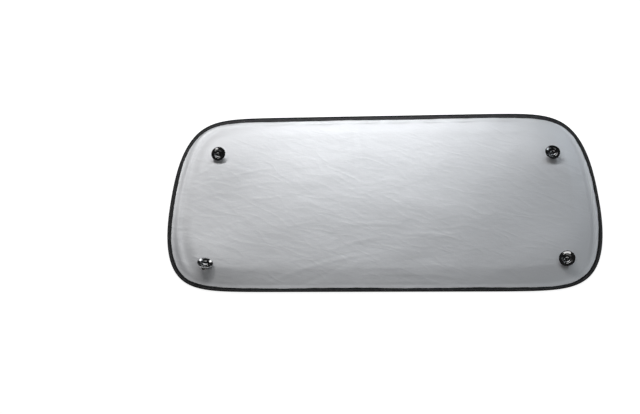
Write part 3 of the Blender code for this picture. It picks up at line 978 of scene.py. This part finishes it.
class SUNSHADE_OT_binding(bpy.types.Operator):
    """Binding tape with its two rows of stitches"""
    bl_idname = "sunshade.binding"
    bl_label = "Edge binding"

    def execute(self, context):
        settings = context.scene.sunshade_binding
        tape = new_piece("edge_binding_tape", self.tape_shape(settings),
                         [woven_tape(settings.colour)], PANEL_BODY)
        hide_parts("edge_binding")
        new_piece("binding_stitches", self.stitch_shape(settings),
                  [sewing_thread(settings.colour)], PANEL_BODY)
        return {"FINISHED"}

    def tape_shape(self, settings):
        section = tape_section(settings.tape)
        section.append(section[0])
        width = [0.0]
        for before, after in zip(section, section[1:]):
            width.append(width[-1] + math.dist(before, after))
        shape = bmesh.new()
        rows = len(section) - 1
        bmesh.ops.create_grid(shape, x_segments=settings.steps, y_segments=rows, size=1.0)
        flat_map = shape.loops.layers.uv.new("tape")
        for face in shape.faces:
            for loop in face.loops:
                x, y, _ = loop.vert.co
                row = round((y + 1) / 2 * rows)
                loop[flat_map].uv = ((x + 1) / 2 * OUTLINE.length, width[row])
        for vert in shape.verts:
            out, up = section[round((vert.co.y + 1) / 2 * rows)]
            vert.co = ((vert.co.x + 1) / 2 * OUTLINE.length, out, up)
        wrap_round_hoop(shape)
        bmesh.ops.remove_doubles(shape, verts=shape.verts[:], dist=MERGE_DISTANCE)
        bmesh.ops.recalc_face_normals(shape, faces=shape.faces[:])
        return shape

    def stitch_shape(self, settings):
        """Rows of stitches near the tape's inner edge, one on each face."""
        shape = bmesh.new()
        count = round(OUTLINE.length / settings.pitch)
        height = WING_GAP_AT_TIP + settings.tape
        size = (settings.stitch / 2, STITCH_WIDTH / 2, STITCH_HEIGHT / 2, 1.0)
        for side, slide in ((1, 0.0), (-1, 0.5)):
            place = (slide * settings.pitch, STITCH_MARGIN - WING_TIP, side * height)
            matrix = (Matrix.Translation(place) @ Matrix.Rotation(STITCH_SLANT, 4, "Z")
                      @ Matrix.Diagonal(size) @ Matrix.Rotation(math.pi / 2, 4, "Y"))
            bmesh.ops.create_uvsphere(shape, u_segments=6, v_segments=4, radius=1.0,
                                      matrix=matrix)
        repeat_along(shape, OUTLINE.length / count, count)
        wrap_round_hoop(shape)
        return shape


class SUNSHADE_OT_hoop(bpy.types.Operator):
    """Finish of the spring wire and the sleeve over its ends"""
    bl_idname = "sunshade.hoop"
    bl_label = "Spring wire hoop"

    def execute(self, context):
        steel = drawn_steel(context.scene.sunshade_fasteners.steel)
        for node in ("spring_wire_hoop", "wire_ferrule"):
            piece = frame["nodes"][node]
            piece.data.materials.clear()
            piece.data.materials.append(steel)
        return {"FINISHED"}


def eyelet_profile():
    """Rolled flange on the cup side, barrel through the cloth, and a curl behind the washer."""
    flange_low = FLANGE_TOP - EYELET_FLANGE_THICKNESS
    barrel = EYELET_BORE + EYELET_WALL
    curl = barrel + EYELET_CURL
    washer_low = -(flange_low + WASHER_THICKNESS)
    curl_top = washer_low - 0.0003
    crown = 0.00012
    lead_in = 0.0004
    rim_round = 0.0003
    corner = 0.0002
    face = []
    for share in np.linspace(0, 1, 9):
        radius = EYELET_BORE + lead_in + share * (EYELET_FLANGE - EYELET_BORE - 2 * lead_in)
        face.append((radius, FLANGE_TOP - crown + crown * math.sin(math.pi * share)))
    rim = arc((EYELET_FLANGE - rim_round, FLANGE_TOP - crown - corner), rim_round, 60, -60, 5)
    under = [(EYELET_FLANGE - 2 * rim_round, flange_low), (barrel + corner, flange_low),
             (barrel, flange_low - corner), (barrel, curl_top + corner), (barrel + corner, curl_top)]
    roll = arc((curl - EYELET_WALL / 2, curl_top - EYELET_WALL / 2), EYELET_WALL / 2, 90, -90, 5)
    bottom = [(EYELET_BORE + lead_in, curl_top - EYELET_WALL),
              (EYELET_BORE + corner / 2, curl_top - EYELET_WALL + corner / 2),
              (EYELET_BORE, curl_top), (EYELET_BORE, corner)]
    lead = arc((EYELET_BORE + lead_in, FLANGE_TOP - crown - lead_in), lead_in, 180, 110, 4)
    return face + rim + under + roll + bottom + lead


def washer_profile():
    top = -(FLANGE_TOP - EYELET_FLANGE_THICKNESS)
    low = top - WASHER_THICKNESS
    edge = 0.0001
    return [(CLOTH_HOLE, top - edge), (CLOTH_HOLE + edge, top), (WASHER_RADIUS - edge, top),
            (WASHER_RADIUS, top - edge), (WASHER_RADIUS, low + edge), (WASHER_RADIUS - edge, low),
            (CLOTH_HOLE + edge, low), (CLOTH_HOLE, low + edge)]


class SUNSHADE_OT_eyelets(bpy.types.Operator):
    """Nickel eyelets and their washers"""
    bl_idname = "sunshade.eyelets"
    bl_label = "Eyelets"

    def execute(self, context):
        settings = context.scene.sunshade_fasteners
        nickel = nickel_plate(settings.nickel)
        for corner, centre in EYELETS.items():
            parts = (("eyelet_ring_", "eyelet_", eyelet_profile()),
                     ("eyelet_back_washer_", "eyelet_washer_", washer_profile()))
            for name, node, profile in parts:
                shape = turned_shape(profile, settings.eyelet_steps)
                bmesh.ops.translate(shape, vec=centre, verts=shape.verts[:])
                piece = new_piece(name + corner, shape, [nickel], PANEL_BODY,
                                  math.radians(50))
                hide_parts(node + corner)
        return {"FINISHED"}


def cup_profile():
    """Suction cup from the middle of its bowl, over the lip and down its neck to the head."""
    floor = LIP_HEIGHT - BOWL_DEPTH
    well_edge = floor + WELL_RISE
    gate = [(0.0, floor + 0.0003), (0.0006, floor + 0.00028), (0.0009, floor + 0.0001),
            (0.0012, floor + 0.00002)]
    well = [(r, floor + WELL_RISE * (r / WELL_RADIUS) ** WELL_POWER)
            for r in np.linspace(0.002, WELL_RADIUS - 0.0003, 14)]
    lip_inner = LIP_RADIUS - LIP_FACE
    wall_top = well_edge + WALL_STEP
    wall = [(WALL_START + share * (lip_inner - WALL_START),
             wall_top + (LIP_HEIGHT - wall_top) * share ** 1.1) for share in np.linspace(0, 1, 8)]
    edge = arc((LIP_RADIUS - 0.0002, LIP_HEIGHT - 0.0002), 0.0002, 90, -60, 5)
    back = []
    rise = LIP_HEIGHT - LIP_EDGE - SHOULDER_HEIGHT
    for i in range(12):
        share = 0.98 - 0.94 * i / 11
        back.append((NECK_RADIUS + share * (LIP_RADIUS - NECK_RADIUS),
                     SHOULDER_HEIGHT + rise * share ** 1.05))
    neck = [(NECK_RADIUS + 0.0001, SHOULDER_HEIGHT - 0.0004), (NECK_RADIUS, SHOULDER_HEIGHT - 0.001),
            (NECK_RADIUS, HEAD_TOP + 0.0005), (NECK_RADIUS + 0.0002, HEAD_TOP + 0.0001),
            (NECK_RADIUS + 0.0006, HEAD_TOP)]
    head = (arc((HEAD_RADIUS - 0.0005, HEAD_TOP - 0.0005), 0.0005, 90, 0, 4)
            + arc((HEAD_RADIUS - 0.0010, HEAD_BOTTOM + 0.0010), 0.0010, 0, -90, 5))
    end = [(0.0014, HEAD_BOTTOM), (0.0010, HEAD_BOTTOM + 0.0003), (0.0, HEAD_BOTTOM + 0.0003)]
    return gate + well + wall + edge + back + neck + head + end


class SUNSHADE_OT_cups(bpy.types.Operator):
    """Suction cups, each leaning in its eyelet"""
    bl_idname = "sunshade.cups"
    bl_label = "Suction cups"

    def execute(self, context):
        settings = context.scene.sunshade_fasteners
        plastic = glossy_plastic(settings.plastic)
        for joint in frame["joints"]:
            corner = joint["name"].removeprefix("lean_")
            lean = -math.radians(sum(joint["range_deg"]) / 2)
            shape = turned_shape(cup_profile(), settings.cup_steps)
            matrix = (Matrix.Translation(joint["pos_m"])
                      @ Matrix.Rotation(lean, 4, Vector(joint["axis"])))
            bmesh.ops.transform(shape, matrix=matrix, verts=shape.verts[:])
            piece = new_piece("cup_" + corner, shape, [plastic], joint["child"],
                              math.radians(60))
            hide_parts("suction_cup_" + corner)
        return {"FINISHED"}


class SUNSHADE_OT_stage(bpy.types.Operator):
    """Pale floor, softboxes, soft surroundings and the camera"""
    bl_idname = "sunshade.stage"
    bl_label = "Stage"

    def execute(self, context):
        settings = context.scene.sunshade_stage
        shape = bmesh.new()
        bmesh.ops.create_grid(shape, x_segments=4, y_segments=4, size=FLOOR_HALF_SIZE)
        floor = new_piece("studio_floor", shape, [bare_floor(settings.floor)])
        powers = (settings.key_power, settings.middle_power, settings.side_power,
                  settings.strip_power, settings.front_power)
        for (name, (place, size, colour)), power in zip(SOFTBOXES.items(), powers):
            self.softbox(name, place, size, colour, power)
        self.surroundings(context.scene, settings.world)
        self.camera(context.scene, settings)
        context.scene.view_settings.view_transform = "Standard"
        return {"FINISHED"}

    def softbox(self, name, place, size, colour, power):
        data = bpy.data.lights.new(name, "AREA")
        data.shape = "RECTANGLE"
        data.size, data.size_y = size
        data.color = colour
        data.energy = power
        lamp = bpy.data.objects.new(name, data)
        lamp.location = place
        lamp.rotation_euler = (-Vector(place)).to_track_quat("-Z", "Y").to_euler()
        bpy.context.scene.collection.objects.link(lamp)

    def surroundings(self, scene, strength):
        world = bpy.data.worlds.new("studio")
        world.use_nodes = True
        nodes, links = world.node_tree.nodes, world.node_tree.links
        lit = nodes["Background"]
        lit.inputs["Color"].default_value = (0.97, 0.985, 1.0, 1.0)
        lit.inputs["Strength"].default_value = strength
        seen = nodes.new("ShaderNodeBackground")
        seen.inputs["Color"].default_value = (1.0, 1.0, 1.0, 1.0)
        path = nodes.new("ShaderNodeLightPath")
        mix = nodes.new("ShaderNodeMixShader")
        links.new(path.outputs["Is Camera Ray"], mix.inputs[0])
        links.new(lit.outputs[0], mix.inputs[1])
        links.new(seen.outputs[0], mix.inputs[2])
        links.new(mix.outputs[0], nodes["World Output"].inputs["Surface"])
        scene.world = world

    def camera(self, scene, settings):
        data = bpy.data.cameras.new("photo_camera")
        data.lens = settings.lens
        camera = bpy.data.objects.new("photo_camera", data)
        scene.collection.objects.link(camera)
        flat = math.cos(settings.elevation)
        back = Vector((math.sin(settings.azimuth) * flat, -math.cos(settings.azimuth) * flat,
                       math.sin(settings.elevation)))
        look = (-back).to_track_quat("-Z", "Y").to_matrix().to_4x4()
        camera.matrix_world = (Matrix.Translation(Vector(CAMERA_AIM) + CAMERA_DISTANCE * back)
                               @ look @ Matrix.Rotation(settings.roll, 4, "Z"))
        scene.camera = camera


class SUNSHADE_PT_panel(bpy.types.Panel):
    """Sidebar panel that lists the operators"""
    bl_idname = "SUNSHADE_PT_panel"
    bl_label = "Sunshade"
    bl_space_type = "VIEW_3D"
    bl_region_type = "UI"
    bl_category = "Sunshade"

    def draw(self, context):
        for operator in OPERATORS:
            self.layout.operator(operator.bl_idname)


OPERATORS = (SUNSHADE_OT_binding, SUNSHADE_OT_cloth, SUNSHADE_OT_hoop, SUNSHADE_OT_eyelets,
             SUNSHADE_OT_cups, SUNSHADE_OT_stage)
SETTINGS = {"sunshade_cloth": SunshadeClothSettings, "sunshade_binding": SunshadeBindingSettings,
            "sunshade_fasteners": SunshadeFastenerSettings, "sunshade_stage": SunshadeStageSettings}


def register():
    for group in (*SETTINGS.values(), *OPERATORS, SUNSHADE_PT_panel):
        bpy.utils.register_class(group)
    for name, group in SETTINGS.items():
        setattr(bpy.types.Scene, name, PointerProperty(type=group))


def unregister():
    for name in SETTINGS:
        delattr(bpy.types.Scene, name)
    for group in reversed((*SETTINGS.values(), *OPERATORS, SUNSHADE_PT_panel)):
        bpy.utils.unregister_class(group)


def main():
    register()
    bpy.ops.sunshade.binding()
    bpy.ops.sunshade.cloth()
    bpy.ops.sunshade.hoop()
    bpy.ops.sunshade.eyelets()
    bpy.ops.sunshade.cups()
    bpy.ops.sunshade.stage()


if __name__ == "__main__":
    main()
